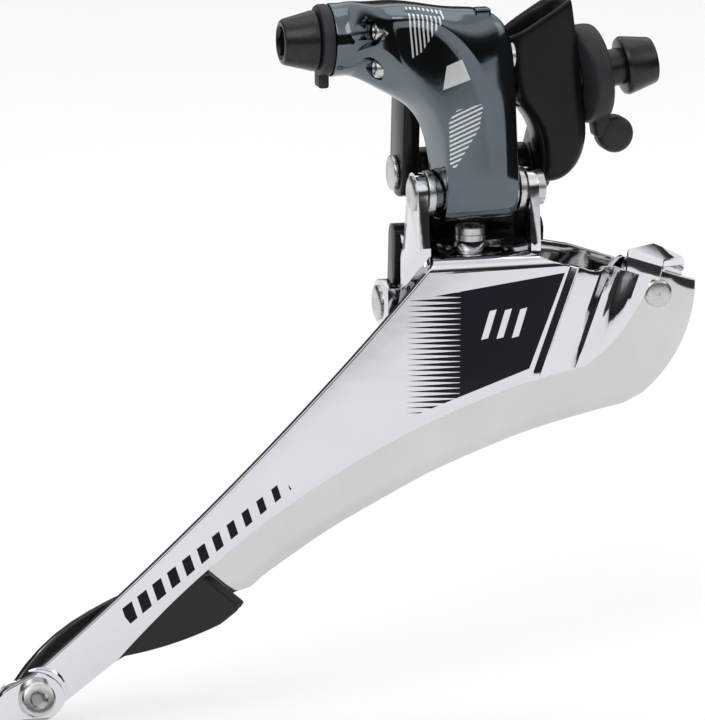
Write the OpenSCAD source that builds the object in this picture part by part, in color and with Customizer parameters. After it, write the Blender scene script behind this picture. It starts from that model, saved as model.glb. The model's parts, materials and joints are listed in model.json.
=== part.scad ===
// Road front derailleur for a braze-on hanger.
// Origin: the fixing bolt's axis at the saddle face. +X is forward on the bicycle,
// -Y is outboard, +Z is up. All four pivots of the linkage run along X.

/* [Linkage] */
// Side offset of the outer link's upper pivot
upper_outer_y = -5.9; // [-6.2:0.1:-5.7]
// Height of the outer link's upper pivot
upper_outer_z = 4.3; // [3.5:0.1:5]
// Side offset of the inner link's upper pivot
upper_inner_y = 5; // [4.5:0.1:6]
// Height of the inner link's upper pivot
upper_inner_z = -13.4; // [-14:0.1:-13]
// Side step from a link's upper pivot to its lower pivot
link_dy = 1.5; // [1:0.1:2]
// Height step from a link's upper pivot to its lower pivot
link_dz = -18.8; // [-19:0.1:-18.6]

/* [Pins and bushes] */
// Radius of all four pivot pins
pin_r = 1.8; // [1.6:0.05:1.9]
// Running gap between a pin and its bush, on the radius
running_gap = 0.04; // [0.02:0.01:0.08]
// Outer radius of the bushes
bush_r = 2.4; // [2.3:0.05:2.5]
// Radius of the rivet heads on the pins
pin_head_r = 2.45; // [2.2:0.05:2.6]

/* [Cage] */
// Thickness of the cage plates
sheet = 1.2; // [1:0.1:1.4]
// Outboard face of the outer plate
outer_face_y = -10; // [-10.5:0.1:-9.5]
// Chain-side face of the inner plate
inner_face_y = 0.4; // [0.2:0.1:0.6]
// Angle by which the inner plate's tail flares inboard
tail_flare = 5.6; // [4:0.1:6]
// Angle by which the tail screw leans down towards the inside
tail_lean = 20; // [15:1:22]

/* [Mounting] */
// Lean of the fixing bolt's axis above the horizontal
saddle_lean = 8.5; // [6:0.5:10]
// Radius of the concave saddle face
saddle_r = 14; // [13:0.5:16]
// Radius of the fixing bolt's shank
bolt_r = 2.5; // [2.4:0.05:2.6]

/* [Cable clamp] */
// Side offset of the cable bolt
cable_y = 3; // [2.5:0.1:3.5]
// Height of the cable bolt
cable_z = 6; // [5.5:0.1:6.5]
// Radius of the cable groove
groove_r = 0.65; // [0.6:0.05:0.7]

/* [Hidden] */
$fn = 64;

lower_outer_y = upper_outer_y + link_dy;
lower_outer_z = upper_outer_z + link_dz;
lower_inner_y = upper_inner_y + link_dy;
lower_inner_z = upper_inner_z + link_dz;
bush_bore_r = pin_r + running_gap;
thread_gap = 0.05;        // round a screw in its thread
swing_gap = 0.3;          // between parts that swing past each other

// Stations along X
arm_end_x = -34.3;          // face that the cable washer sits on
link_left = -22.3;        // outer link, left cheek
link_right = -10.5;       // outer link, right cheek
cheek = 2.2;              // thickness of those cheeks
knuckle_left = -19.8;     // mount body's knuckle between the cheeks
knuckle_right = -13;
knuckle_r = 2.8;
upper_bush_r = 2.2;
ear = 1.4;                // thickness of the bracket's ears
outer_ear_left = -24.2;   // bracket's ears on the outer link
outer_ear_right = -8.3;
inner_ear_left = -26;   // bracket's ears on the inner link
inner_ear_right = -2.2;
outer_knuckle_left = -21.5;
outer_knuckle_right = -9.5;
inner_knuckle_left = -24.3;
inner_knuckle_right = -2.6;
leg_left = -24;           // mount body's rear leg
leg_right = -21.5;
front_ear_left = -5;      // mount body's front ear on the inner link
front_ear_right = -2.2;

// Heights of the cage's top
shelf_z = -22.7;          // underside of the bracket's base
base_t = 1.2;
flange_y = inner_face_y + sheet;
flange_t = 1.1;

// Tail
flare_x = -28;
tail_x = -79.5;
tail_z = -81;
outer_boss_z = [-1, 2.3];   // along the tail screw, from the outer face
inner_boss_z = [15.2, 19];
tail_screw_r = 1.25;
boss_r = 3.2;
nut_t = 1.8;

// Cable and limit screws
cable_bolt_r = 2.5;
groove_y = cable_y + 3.3;
limit_y = -4;
high_limit_z = 3;
low_limit_z = 8;
limit_r = 1.3;

// The straight sides of a round-ended bar lie this far inside its end circles
bar_inset = 0.02;

// Points on the arc that runs from p through q to s
function circum(p, q, s) =
    let (d = 2 * (p.x * (q.y - s.y) + q.x * (s.y - p.y) + s.x * (p.y - q.y)),
         pp = p * p, qq = q * q, ss = s * s)
    [(pp * (q.y - s.y) + qq * (s.y - p.y) + ss * (p.y - q.y)) / d,
     (pp * (s.x - q.x) + qq * (p.x - s.x) + ss * (q.x - p.x)) / d];
function turn(a) = a > 180 ? a - 360 : (a < -180 ? a + 360 : a);
function arc(p, q, s, steps = 8) =
    let (c = circum(p, q, s),
         a0 = atan2(p.y - c.y, p.x - c.x),
         half = turn(atan2(q.y - c.y, q.x - c.x) - a0),
         rest = turn(atan2(s.y - c.y, s.x - c.x) - a0 - half),
         sweep = half + turn(rest))
    [for (i = [0:steps]) c + norm(p - c) * [cos(a0 + sweep * i / steps),
                                            sin(a0 + sweep * i / steps)]];

module x_rod(r, x0, x1, y, z) {
    translate([x0, y, z])
        rotate([0, 90, 0])
            cylinder(r = r, h = x1 - x0);
}

module z_rod(r, span) {
    translate([0, 0, span[0]])
        cylinder(r = r, h = span[1] - span[0]);
}

module x_plate(x0, x1) {
    translate([x0, 0, 0])
        rotate([90, 0, 90])
            linear_extrude(x1 - x0)
                children();
}

module y_plate(y0, y1) {
    translate([0, y1, 0])
        rotate([90, 0, 0])
            linear_extrude(y1 - y0)
                children();
}

module bar(p, q, r) {
    d = q - p;
    translate(p)
        circle(r);
    translate(q)
        circle(r);
    translate(p)
        rotate(atan2(d.y, d.x))
            translate([0, bar_inset - r])
                square([norm(d), 2 * (r - bar_inset)]);
}

module box(lo, hi) {
    translate(lo)
        cube(hi - lo);
}

module saddle_frame() {
    rotate([0, -saddle_lean, 0])
        children();
}

module tail_frame() {
    translate([tail_x, outer_face_y, tail_z])
        rotate([-90 - tail_lean, 0, 0])
            children();
}

module flare_frame() {
    translate([flare_x, inner_face_y, 0])
        rotate([0, 0, -tail_flare])
            translate([-flare_x, -inner_face_y, 0])
                children();
}

// ---- Mount body, bolt and washer ----

module mount_outline() {
    polygon([[-10, 5.6], [-2.8, 9.9], [3, 9.9], [3, -9],
             each arc([1.2, -10.2], [0, -12.2], [-3.5, -13.8], 6),
             [-5.2, -13.8], [-5.2, -6.2], [-10, -4]]);
}

module mount_body() {
    color("#26272b")
        difference() {
            union() {
                y_plate(-3.5, 5)
                    mount_outline();
                box([leg_left, 1.5, -5], [-9, 6.5, 1.2]);
                x_plate(knuckle_left, knuckle_right)
                    bar([upper_outer_y, upper_outer_z], [3.8, -1.8], knuckle_r);
                x_plate(leg_left, leg_right)
                    bar([4.2, -2.2], [upper_inner_y, upper_inner_z], 3.4);
                x_plate(front_ear_left, front_ear_right)
                    bar([1.4, -8], [upper_inner_y, upper_inner_z], 3.4);
            }
            saddle_frame() {
                translate([saddle_r, 0, -40])
                    cylinder(r = saddle_r, h = 80);
                box([8, -20, -40], [40, 20, 40]);
                x_rod(bolt_r + thread_gap, -9, 20, 0, 0);
            }
            box([-8.4, -2, 3.2], [-3.2, 3.6, 20]);
            x_rod(upper_bush_r, -30, 0, upper_outer_y, upper_outer_z);
            x_rod(pin_r, -30, front_ear_right, upper_inner_y, upper_inner_z);
        }
}

module radius_washer() {
    color("#1d1e20")
        saddle_frame()
            difference() {
                union() {
                    intersection() {
                        translate([saddle_r, 0, -20])
                            cylinder(r = saddle_r, h = 40);
                        x_plate(0, 4.4)
                            bar([-0.8, 0], [0.8, 0], 6.3);
                    }
                    box([2.2, -1.7, -9], [4.2, 1.7, -5]);
                    translate([4.6, -1.9, -9])
                        rotate([-90, 0, 0])
                            cylinder(r = 2, h = 3.8);
                }
                x_rod(bolt_r + 0.3, -1, 6, 0, 0);
            }
}

module mount_bolt() {
    color("#202124")
        saddle_frame()
            difference() {
                union() {
                    x_rod(bolt_r, -8.6, 6.6, 0, 0);
                    translate([6.6, 0, 0])
                        rotate([0, 90, 0])
                            cylinder(r1 = 4.3, r2 = 3.2, h = 6);
                }
                translate([9.2, 0, 0])
                    rotate([0, 90, 0])
                        cylinder(r = 2.3, h = 6, $fn = 6);
            }
}

module upper_bush() {
    color("#b08a4a")
        difference() {
            x_rod(upper_bush_r, knuckle_left, knuckle_right, upper_outer_y, upper_outer_z);
            x_rod(bush_bore_r, -30, 0, upper_outer_y, upper_outer_z);
        }
}

module inner_upper_pin() {
    color("#b9bcc0")
        union() {
            x_rod(pin_r, leg_left, front_ear_right, upper_inner_y, upper_inner_z);
            x_rod(pin_head_r, leg_left - 0.8, leg_left, upper_inner_y, upper_inner_z);
        }
}

// ---- Return spring: a torsion coil round the inner upper pin ----

coil_turns = 5;
coil_wire_r = 0.5;
coil_r = 2.7;
coil_x0 = -16.5;
coil_pitch = 1.25;
coil_sides = 8;
coil_steps = 20;

function coil_point(t, k) =
    let (a = 360 * t, b = 360 * k / coil_sides, r = coil_r + coil_wire_r * cos(b))
    [coil_x0 + coil_pitch * t + coil_wire_r * sin(b),
     upper_inner_y + r * sin(a), upper_inner_z + r * cos(a)];

module return_spring() {
    rings = coil_turns * coil_steps;
    points = [for (i = [0:rings]) for (k = [0:coil_sides - 1])
              coil_point(i / coil_steps, k)];
    sides = [for (i = [0:rings - 1]) for (k = [0:coil_sides - 1])
             let (n = (k + 1) % coil_sides, a = i * coil_sides, b = a + coil_sides)
             [a + k, b + k, b + n, a + n]];
    first = [for (k = [0:coil_sides - 1]) k];
    last = [for (k = [coil_sides - 1:-1:0]) rings * coil_sides + k];
    color("#9a9da1")
        polyhedron(points, concat(sides, [first, last]), convexity = 6);
}

// ---- Outer link ----

module link_outline() {
    polygon([[-20.9, -18.2], [-20.9, -11],
             each arc([-21.2, -6], [-24, 0], [-29, 7], 5),
             [-30, 12.2], [-23.5, 12.6], [-19.6, 10.8], [-18, 11.8], [-14.5, 11.8],
             [-12, 9], [-10.6, 5], [-10.2, -4], [-9.8, -18.2]]);
}

module arm_root() {
    box([-24.4, -9.4, 1], [link_left, -1.6, 12]);
}

module arm_end() {
    x_rod(5.2, arm_end_x, arm_end_x + 5, cable_y, cable_z);
}

module outer_link() {
    color("#6f7885")
        difference() {
            union() {
                intersection() {
                    y_plate(-10, -7.2)
                        link_outline();
                    x_plate(-40, 0)
                        polygon([[-9.3, -18.4], [-10, -14], [-10, 4], [-8.6, 12.6],
                                 [-1, 12.6], [-1, -18.4]]);
                }
                x_rod(3.9, outer_knuckle_left, outer_knuckle_right,
                      lower_outer_y, lower_outer_z);
                box([-21.2, -8, -12], [link_right, -2.4, -4.2]);
                x_plate(link_left, link_left + cheek)
                    polygon([[-8, -6], [-3, -6], [-1.6, 1], [-1.6, 12], [-8, 12]]);
                x_plate(link_right - cheek, link_right)
                    polygon([[-8, -6], [-3, -6], [-2, 1], [-2, 7], [-5, 10], [-8, 10]]);
                box([link_left, -8, 10.2], [-13, -2, 11.6]);
                hull() {
                    arm_root();
                    arm_end();
                }
            }
            x_rod(pin_r, link_left + 0.8, 0, upper_outer_y, upper_outer_z);
            x_rod(knuckle_r + swing_gap, knuckle_left - swing_gap, knuckle_right + swing_gap,
                  upper_outer_y, upper_outer_z);
            x_rod(bush_r, -30, 0, lower_outer_y, lower_outer_z);
            x_rod(cable_bolt_r + thread_gap, arm_end_x - 1, -27, cable_y, cable_z);
            for (z = [high_limit_z, low_limit_z])
                x_rod(limit_r + thread_gap, -40, -24.9, limit_y, z);
            cable_groove();
        }
}

module cable_groove() {
    translate([arm_end_x + 0.3, groove_y, -20])
        cylinder(r = groove_r, h = 40);
}

module outer_upper_pin() {
    color("#b9bcc0")
        x_rod(pin_r, link_left + 0.8, link_right, upper_outer_y, upper_outer_z);
}

module flanged_bush(x_flange, x_face, x_end, y, z) {
    difference() {
        union() {
            x_rod(3.1, min(x_flange, x_face), max(x_flange, x_face), y, z);
            x_rod(bush_r, min(x_face, x_end), max(x_face, x_end), y, z);
        }
        x_rod(bush_bore_r, -40, 10, y, z);
    }
}

module outer_link_bushes() {
    color("#c8a56a") {
        flanged_bush(outer_knuckle_left - 1.1, outer_knuckle_left, -17.5,
                     lower_outer_y, lower_outer_z);
        flanged_bush(outer_knuckle_right + 0.9, outer_knuckle_right, -13.5,
                     lower_outer_y, lower_outer_z);
    }
}

module cable_washer() {
    color("#1d1e20")
        difference() {
            union() {
                x_rod(5, arm_end_x - 1.6, arm_end_x, cable_y, cable_z);
                box([arm_end_x - 1.6, cable_y - 1.4, cable_z - 6.6],
                    [arm_end_x, cable_y + 1.4, cable_z - 4]);
            }
            x_rod(cable_bolt_r + 0.2, arm_end_x - 3, arm_end_x + 1, cable_y, cable_z);
            cable_groove();
        }
}

module cable_bolt() {
    color("#202124")
        difference() {
            union() {
                x_rod(cable_bolt_r, arm_end_x - 1.7, -27.4, cable_y, cable_z);
                translate([arm_end_x - 6.65, cable_y, cable_z])
                    rotate([0, 90, 0])
                        cylinder(r1 = 3.1, r2 = 4.3, h = 5);
            }
            translate([arm_end_x - 8, cable_y, cable_z])
                rotate([0, 90, 0])
                    cylinder(r = 2.3, h = 4.6, $fn = 6);
        }
}

module limit_screw(z) {
    color("#2a2b2e")
        difference() {
            x_rod(limit_r, -29.6, -25.2, limit_y, z);
            translate([-30, limit_y, z])
                rotate([0, 90, 0])
                    cylinder(r = 0.75, h = 1.6, $fn = 6);
        }
}

module high_limit_screw() {
    limit_screw(high_limit_z);
}

module low_limit_screw() {
    limit_screw(low_limit_z);
}

// ---- Inner link ----

upper_knuckle_left = leg_right + swing_gap;
upper_knuckle_right = front_ear_left - swing_gap;

module inner_link() {
    color("#17181a")
        difference() {
            union() {
                x_plate(upper_knuckle_left, upper_knuckle_right)
                    bar([upper_inner_y, upper_inner_z], [lower_inner_y, lower_inner_z], 1.8);
                x_rod(3.4, upper_knuckle_left, upper_knuckle_right,
                      upper_inner_y, upper_inner_z);
                x_plate(inner_knuckle_left, inner_knuckle_right)
                    bar([5.8, -22.6], [lower_inner_y, lower_inner_z], 1.8);
                x_rod(3.4, inner_knuckle_left, inner_knuckle_right,
                      lower_inner_y, lower_inner_z);
            }
            x_rod(bush_r, -40, 10, upper_inner_y, upper_inner_z);
            x_rod(bush_r, -40, 10, lower_inner_y, lower_inner_z);
            x_rod(3.9, -17.5, -9, upper_inner_y, upper_inner_z);
        }
}

module plain_bush(x0, x1, y, z, bore) {
    difference() {
        x_rod(bush_r, x0, x1, y, z);
        x_rod(bore, x0 - 1, x1 + 1, y, z);
    }
}

open_pivot_gap = 0.15;

module inner_link_bushes() {
    color("#c8a56a") {
        plain_bush(upper_knuckle_left, -17.5, upper_inner_y, upper_inner_z, bush_bore_r);
        plain_bush(-9, upper_knuckle_right, upper_inner_y, upper_inner_z, bush_bore_r);
        plain_bush(inner_knuckle_left, -21, lower_inner_y, lower_inner_z,
                   pin_r + open_pivot_gap);
        plain_bush(-7, inner_knuckle_right, lower_inner_y, lower_inner_z,
                   pin_r + open_pivot_gap);
    }
}

// ---- Cage ----

module pivot_bracket() {
    color("#cfd3d8")
        difference() {
            union() {
                box([outer_ear_left, -8.4, shelf_z],
                    [outer_ear_right + ear, flange_y + flange_t, shelf_z + base_t]);
                box([outer_ear_left, flange_y, lower_inner_z - 0.6],
                    [outer_ear_right + ear, flange_y + flange_t, shelf_z + base_t]);
                box([inner_ear_left, flange_y, lower_inner_z - 0.6],
                    [inner_ear_right + ear, flange_y + flange_t, lug_top_z]);
                for (x = [outer_ear_left, outer_ear_right])
                    x_plate(x, x + ear) {
                        translate([lower_outer_y, lower_outer_z])
                            circle(outer_ear_r);
                        polygon([[lower_outer_y - outer_ear_r, lower_outer_z],
                                 [lower_outer_y + outer_ear_r, lower_outer_z],
                                 [0, shelf_z + base_t], [-8.4, shelf_z + base_t]]);
                    }
                x_plate(outer_ear_left, outer_ear_left + ear)
                    polygon([[-8.4, shelf_z + base_t], [0, shelf_z + base_t],
                             [flange_y + flange_t, -27], [flange_y + flange_t, -29.4],
                             [inner_face_y, -29.2], [-8.4, -24]]);
                for (x = [inner_ear_left, inner_ear_right])
                    x_plate(x, x + ear) {
                        translate([lower_inner_y, lower_inner_z])
                            circle(inner_ear_r);
                        polygon([[flange_y, lug_top_z],
                                 [lower_inner_y, lower_inner_z + inner_ear_r - 0.02],
                                 [lower_inner_y, lower_inner_z - inner_ear_r + 0.02],
                                 [flange_y, lower_inner_z - 0.6]]);
                    }
            }
            x_rod(pin_r, -40, 10, lower_outer_y, lower_outer_z);
            x_rod(pin_r, -40, 10, lower_inner_y, lower_inner_z);
            bracket_rivet_axis()
                cylinder(r = 1.25, h = 10, center = true);
            flange_rivet_axes()
                cylinder(r = 0.9, h = 6, center = true);
        }
}

outer_ear_r = 2.9;
inner_ear_r = 3.3;
lug_top_z = lower_inner_z + 3;

module bracket_rivet_axis() {
    translate([-15.8, -4, shelf_z])
        children();
}

module flange_rivet_axes() {
    for (x = [-17, -9])
        translate([x, flange_y, -27.5])
            rotate([90, 0, 0])
                children();
}

module outer_outline() {
    polygon([[-22.7, -22.7],
             each arc([-23.5, -24.3], [-48, -49.8], [-79.4, -77.6], 10),
             each arc([-82.4, -78.9], [-84.4, -81.4], [-83.6, -84], 4),
             each arc([-78, -84.6], [-76.2, -83.4], [-74.9, -81.7], 3),
             each arc([-67.4, -76.2], [-34.7, -51.2], [-1, -38.9], 14),
             [4.8, -34], [10.1, -25.7], [8.9, -24.5], [3.9, -23.2], [1.6, -25.4],
             [-4, -24.9], [-9.3, -22.7]]);
}

// Sections of the bridge that folds over the chain at the nose
module bridge_section(x, y, z) {
    translate([x, y, z])
        rotate([0, 20, 0])
            cube([6.1, sheet, sheet]);
}

module outer_plate() {
    color("#c3c8ce")
        difference() {
            union() {
                y_plate(outer_face_y, outer_face_y + sheet)
                    outer_outline();
                box([-22.7, outer_face_y + sheet, shelf_z - sheet],
                    [-9.3, inner_face_y, shelf_z]);
                hull() {
                    bridge_section(4.2, outer_face_y, -25.4);
                    bridge_section(5.1, outer_face_y + 0.6, -23.9);
                    bridge_section(6.8, -6.6, -24);
                }
                hull() {
                    bridge_section(6.8, -6.6, -24);
                    bridge_section(12, flange_y, -26.3);
                }
                hull() {
                    bridge_section(12, flange_y, -26.3);
                    bridge_section(10.8, flange_y, -33);
                }
                tail_frame()
                    z_rod(boss_r, outer_boss_z);
            }
            bracket_rivet_axis()
                cylinder(r = 1.25, h = 10, center = true);
            nose_axis()
                cylinder(r = 1.1, h = 20, center = true);
            tail_frame()
                cylinder(r = tail_screw_r, h = 40, center = true);
        }
}

module nose_axis() {
    translate([13.3, flange_y, -31.8])
        rotate([90, 0, 0])
            children();
}

module inner_outline() {
    polygon([[-19, -23], [-25, -34], each arc([-28, -38], [-42, -52], [-57, -67.4], 5),
             each arc([-63, -71.6], [-74, -77.4], [-81, -86.4], 5),
             each arc([-80.4, -88.4], [-78, -89], [-75, -87.4], 3),
             each arc([-64, -81], [-56, -77.4], [-47, -72.2], 5),
             each arc([-45.9, -71.6], [-20, -56], [8.7, -47.8], 12),
             each arc([11.5, -46.5], [16.4, -41], [19.2, -30.4], 6),
             [13.8, -28.6], [6.8, -26.3], [0, -24], [-5, -23]]);
}

module inner_solid() {
    intersection() {
        y_plate(inner_face_y, inner_face_y + sheet)
            inner_outline();
        box([flare_x, -50, -200], [100, 50, 100]);
    }
    intersection() {
        flare_frame()
            y_plate(inner_face_y, inner_face_y + sheet)
                inner_outline();
        box([-200, -50, -200], [flare_x + 0.5, 50, 100]);
    }
    tail_frame()
        z_rod(boss_r, inner_boss_z);
}

module inner_plate() {
    color("#d6dade")
        difference() {
            inner_solid();
            flange_rivet_axes()
                cylinder(r = 0.9, h = 6, center = true);
            nose_axis()
                cylinder(r = 1.1, h = 20, center = true);
            tail_frame()
                cylinder(r = tail_screw_r, h = 40, center = true);
        }
}

module tail_pad() {
    pad_t = 1.2;
    color("#131415")
        difference() {
            flare_frame()
                y_plate(inner_face_y - pad_t, inner_face_y)
                    polygon([[-51.2, -67], each arc([-60, -70], [-74, -77.2], [-81.4, -86.6], 6),
                             each arc([-80.8, -89], [-78, -89.8], [-75, -88.2], 3),
                             each arc([-64, -81.6], [-56, -78.4], [-46.5, -73.2], 5)]);
            inner_solid();
            tail_frame()
                cylinder(r = boss_r + 0.1, h = 40, center = true);
        }
}

module rivet(r, head_r, grip, head_h) {
    cylinder(r = r, h = grip, center = true);
    for (s = [-1, 1])
        translate([0, 0, s * (grip + head_h) / 2])
            cylinder(r = head_r, h = head_h, center = true);
}

module bracket_rivet() {
    color("#aeb2b6")
        bracket_rivet_axis() {
            translate([0, 0, -sheet])
                cylinder(r = 1.25, h = sheet + base_t);
            translate([0, 0, -sheet - 0.6])
                cylinder(r = 2, h = 0.6);
            difference() {
                translate([0, 0, base_t])
                    cylinder(r = 2, h = 2.2);
                translate([0, 0, base_t + 1.6])
                    cylinder(r = 0.9, h = 2);
            }
        }
}

module flange_rivets() {
    grip = sheet + flange_t;
    color("#c0c4c8")
        flange_rivet_axes()
            translate([0, 0, (sheet - flange_t) / 2])
                rivet(0.9, 1.6, grip, 0.4);
}

module nose_rivet() {
    color("#c0c4c8")
        nose_axis()
            rivet(1.1, 2.05, 2 * sheet, 0.7);
}

module cage_pin(x0, x1, left_head, right_head, y, z) {
    color("#b9bcc0") {
        x_rod(pin_r, x0, x1, y, z);
        x_rod(pin_head_r, x0 - left_head, x0, y, z);
        x_rod(pin_head_r, x1, x1 + right_head, y, z);
    }
}

module outer_lower_pin() {
    cage_pin(outer_ear_left, outer_ear_right + ear, 0.5, 1.4, lower_outer_y, lower_outer_z);
}

module inner_lower_pin() {
    cage_pin(inner_ear_left, inner_ear_right + ear, 0.6, 0.6, lower_inner_y, lower_inner_z);
}

module tail_screw() {
    color("#c4c8cc")
        tail_frame()
            difference() {
                union() {
                    z_rod(tail_screw_r, [outer_boss_z[0], inner_boss_z[1] + nut_t]);
                    z_rod(2.35, [outer_boss_z[0] - 2, outer_boss_z[0]]);
                }
                translate([0, 0, outer_boss_z[0] - 2.4])
                    cylinder(r = 1.4, h = 1.8, $fn = 6);
            }
}

module tail_spacer() {
    color("#c4c8cc")
        tail_frame()
            difference() {
                z_rod(2.5, [outer_boss_z[1], inner_boss_z[0]]);
                cylinder(r = tail_screw_r, h = 40, center = true);
            }
}

module tail_nut() {
    color("#b4b8bc")
        tail_frame()
            translate([0, 0, inner_boss_z[1]])
                difference() {
                    cylinder(r = 2.6, h = nut_t, $fn = 6);
                    cylinder(r = tail_screw_r, h = 10, center = true);
                }
}

mount_body();
radius_washer();
mount_bolt();
upper_bush();
inner_upper_pin();
return_spring();
outer_link();
outer_upper_pin();
outer_link_bushes();
cable_washer();
cable_bolt();
high_limit_screw();
low_limit_screw();
inner_link();
inner_link_bushes();
pivot_bracket();
outer_plate();
inner_plate();
outer_lower_pin();
inner_lower_pin();
bracket_rivet();
flange_rivets();
nose_rivet();
tail_screw();
tail_spacer();
tail_nut();
tail_pad();
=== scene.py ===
"""Looks of a road front derailleur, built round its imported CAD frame. Lengths are millimetres
until a mesh is finished, when it is scaled to metres."""
import json
import math

import bmesh
import bpy
from mathutils import Matrix, Vector


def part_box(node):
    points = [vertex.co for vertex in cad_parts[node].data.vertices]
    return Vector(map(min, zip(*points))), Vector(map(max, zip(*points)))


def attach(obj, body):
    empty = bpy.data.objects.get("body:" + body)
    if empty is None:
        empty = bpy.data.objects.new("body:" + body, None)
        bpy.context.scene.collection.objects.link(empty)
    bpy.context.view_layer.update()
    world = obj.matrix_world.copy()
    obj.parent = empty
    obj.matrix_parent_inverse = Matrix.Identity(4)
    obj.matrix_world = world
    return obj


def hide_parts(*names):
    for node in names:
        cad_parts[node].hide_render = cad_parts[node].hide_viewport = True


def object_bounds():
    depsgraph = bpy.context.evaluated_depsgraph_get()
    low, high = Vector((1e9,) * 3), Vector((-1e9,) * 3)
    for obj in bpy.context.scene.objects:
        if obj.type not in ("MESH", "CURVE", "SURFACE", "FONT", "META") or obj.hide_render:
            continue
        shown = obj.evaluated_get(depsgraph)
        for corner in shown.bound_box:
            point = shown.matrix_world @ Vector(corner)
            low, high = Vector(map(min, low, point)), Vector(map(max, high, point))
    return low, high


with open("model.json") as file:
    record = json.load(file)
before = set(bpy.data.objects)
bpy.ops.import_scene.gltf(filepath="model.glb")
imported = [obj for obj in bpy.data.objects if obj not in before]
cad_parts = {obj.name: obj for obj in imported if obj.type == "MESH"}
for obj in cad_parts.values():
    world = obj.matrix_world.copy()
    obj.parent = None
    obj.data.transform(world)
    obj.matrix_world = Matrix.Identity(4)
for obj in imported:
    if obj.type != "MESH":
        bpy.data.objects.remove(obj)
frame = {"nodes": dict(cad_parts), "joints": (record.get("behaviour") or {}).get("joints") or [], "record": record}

CAD_BOX = [list(corner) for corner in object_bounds()]
MM = 0.001

bpy.ops.object.select_all(action="DESELECT")
for cad_node in frame["nodes"].values():
    cad_node.select_set(False)

JOINT = {joint["name"]: joint for joint in frame["joints"]}


# ---- where things are

def corners(node):
    """A node's lowest and highest corners in millimetres."""
    low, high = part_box(node)
    return Vector(low) / MM, Vector(high) / MM


def middle(node):
    """The centre of a node's box in millimetres."""
    low, high = corners(node)
    return (low + high) / 2


def pivot(name):
    """A joint's place in millimetres."""
    return Vector(JOINT[name]["pos_m"]) / MM


UPPER_OUTER = pivot("outer_link_swing")
UPPER_INNER = pivot("inner_link_swing")
LOWER_OUTER = pivot("cage_pivot")
CABLE = pivot("cable_bolt_turn")
ARM_END = corners("outer_link")[0].x
SADDLE_TURN = Matrix.Rotation(-math.radians(8.5), 4, "Y")
SADDLE_RADIUS = 14


# ---- shader sums

def two_sided(operation, swapped=False):
    """A Wire method that joins two values by a maths node."""
    def work(self, other):
        return self.math(operation, *((other, self) if swapped else (self, other)))
    return work


class Wire:
    """A shader socket that takes part in Python sums."""

    def __init__(self, tree, socket):
        self.tree = tree
        self.socket = socket

    def math(self, operation, *values):
        node = self.tree.nodes.new("ShaderNodeMath")
        node.operation = operation
        for slot, value in zip(node.inputs, values):
            if isinstance(value, Wire):
                self.tree.links.new(value.socket, slot)
            else:
                slot.default_value = value
        return Wire(self.tree, node.outputs[0])

    __add__ = __radd__ = two_sided("ADD")
    __mul__ = __rmul__ = two_sided("MULTIPLY")
    __sub__ = two_sided("SUBTRACT")
    __rsub__ = two_sided("SUBTRACT", swapped=True)
    __truediv__ = two_sided("DIVIDE")
    __gt__ = two_sided("GREATER_THAN")
    __lt__ = two_sided("LESS_THAN")
    at_least = two_sided("MAXIMUM")

    def fraction(self):
        return self.math("FRACT", self)

    def size(self):
        return self.math("ABSOLUTE", self)


class Finish:
    """A material under construction, with Object coordinates in millimetres."""

    def __init__(self, name):
        self.material = bpy.data.materials.new(name)
        self.material.use_nodes = True
        self.tree = self.material.node_tree
        self.shader = self.tree.nodes["Principled BSDF"]
        place = self.node("ShaderNodeTexCoord", output="Object")
        self.place = self.node("ShaderNodeVectorMath", {"operation": "SCALE"},
                               {0: place, "Scale": 1 / MM})
        parts = self.node("ShaderNodeSeparateXYZ", inputs={0: self.place}, output=None)
        self.x, self.y, self.z = [Wire(self.tree, socket) for socket in parts.outputs]

    def node(self, kind, settings=None, inputs=None, output=0):
        """Adds a node: its settings, its linked or fixed inputs, and the output wanted."""
        made = self.tree.nodes.new(kind)
        for key, value in (settings or {}).items():
            setattr(made, key, value)
        for key, value in (inputs or {}).items():
            if isinstance(value, Wire):
                self.tree.links.new(value.socket, made.inputs[key])
            else:
                made.inputs[key].default_value = value
        return made if output is None else Wire(self.tree, made.outputs[output])

    def set(self, **values):
        """Links or sets the main shader's inputs by name."""
        for key, value in values.items():
            slot = self.shader.inputs[key.replace("_", " ")]
            if isinstance(value, Wire):
                self.tree.links.new(value.socket, slot)
            else:
                slot.default_value = value
        return self

    def noise(self, scale, detail=3.0, stretch=(1, 1, 1)):
        """Noise of so many waves a millimetre, about 0.5 on average."""
        place = self.node("ShaderNodeVectorMath", {"operation": "MULTIPLY"},
                          {0: self.place, 1: stretch})
        return self.node("ShaderNodeTexNoise",
                         inputs={"Vector": place, "Scale": scale, "Detail": detail})

    def mix(self, share, first, second):
        return self.node("ShaderNodeMix", {"data_type": "RGBA"},
                         {0: share, 6: first, 7: second}, output=2)

    def bump(self, height, strength, distance=0.02):
        return self.set(Normal=self.node("ShaderNodeBump", inputs={
            "Height": height, "Strength": strength, "Distance": distance * MM}))

    def facing_out(self):
        """1 where the surface looks outboard."""
        normal = self.node("ShaderNodeNewGeometry", output="Normal")
        parts = self.node("ShaderNodeSeparateXYZ", inputs={0: normal}, output=None)
        return Wire(self.tree, parts.outputs[1]) < -0.45

    def side_of(self, start, end):
        """Signed distance in XZ from the line start-end, positive on its left."""
        run = Vector((end[0] - start[0], end[1] - start[1])).normalized()
        return (self.z - start[1]) * run.x - (self.x - start[0]) * run.y

    def inside(self, points):
        """1 inside a convex outline in XZ whose points go anticlockwise."""
        mask = None
        for start, end in zip(points, points[1:] + points[:1]):
            step = self.side_of(start, end) > 0.0
            mask = step if mask is None else mask * step
        return mask


def grey(value, tint=(0, 0, 0)):
    """A colour near grey, with a little added to its red, green and blue."""
    return (value + tint[0], value + tint[1], value + tint[2], 1)


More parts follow.
